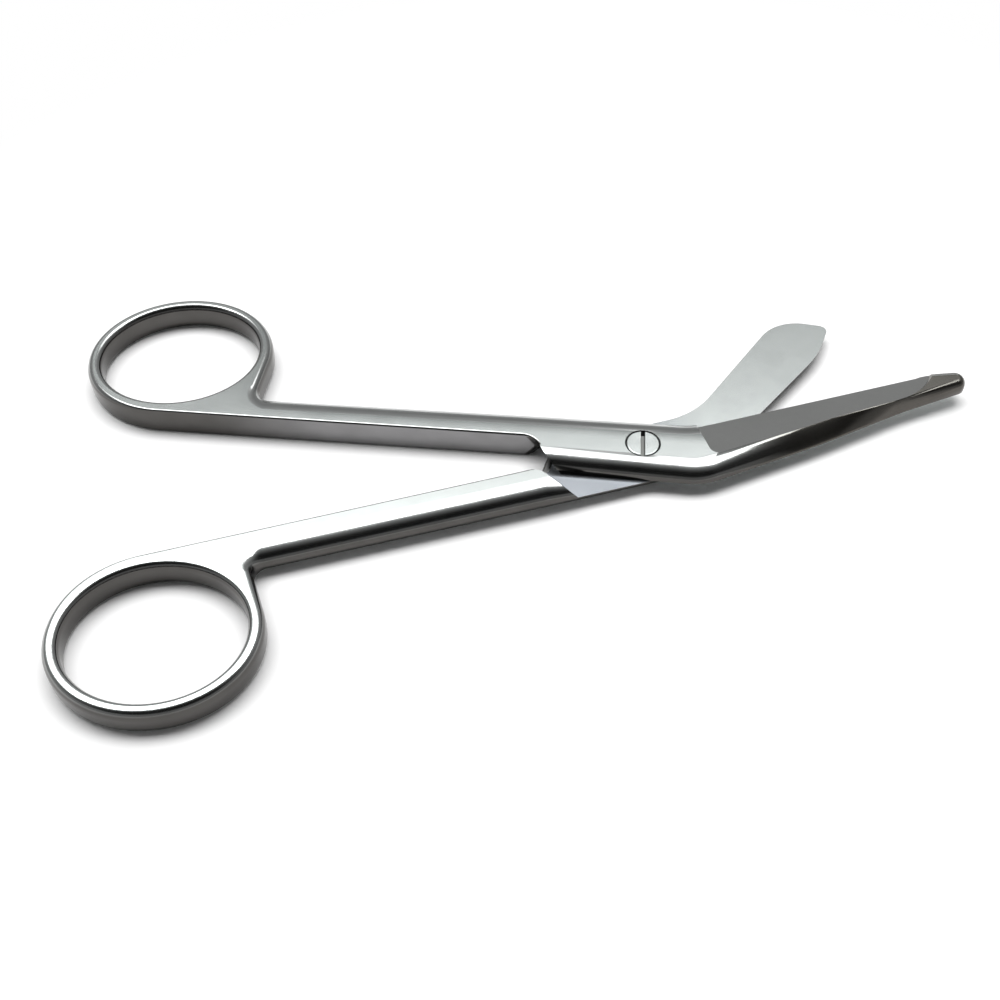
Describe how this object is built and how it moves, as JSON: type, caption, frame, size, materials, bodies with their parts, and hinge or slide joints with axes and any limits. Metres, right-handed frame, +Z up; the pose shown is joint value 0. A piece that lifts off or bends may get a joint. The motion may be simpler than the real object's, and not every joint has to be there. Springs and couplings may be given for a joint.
{
  "type": "bandage scissors",
  "caption": "Bent bandage scissors with a long blunt-probe blade over a shorter round-ended blade, flat shanks with oval finger rings and a flush slotted pivot screw.",
  "frame": {"origin": "On the pivot axis, in the flat underside that both halves rest on.", "axes": "+Z up through the thickness, +X along the middle line between the two shanks towards the blades, +Y to the side of the probe half's ring, towards which both blades bend."},
  "size_m": [0.1401, 0.0812, 0.0047],
  "materials": {
    "probe_half_steel": "satin brushed stainless steel with polished outer walls",
    "plain_half_steel": "satin brushed stainless steel with polished outer walls",
    "screw_steel": "satin turned stainless steel"
  },
  "bodies": {
    "lower_half": {"plain_half": "plain_half_steel", "pivot_screw": "screw_steel"},
    "upper_half": {"probe_half": "probe_half_steel"}
  },
  "joints": [
    {"name": "pivot", "type": "hinge", "parent": "lower_half", "child": "upper_half", "pos_m": [0, 0, 0.00235], "axis": [0, 0, 1], "range_deg": [-103, 21.5]}
  ]
}
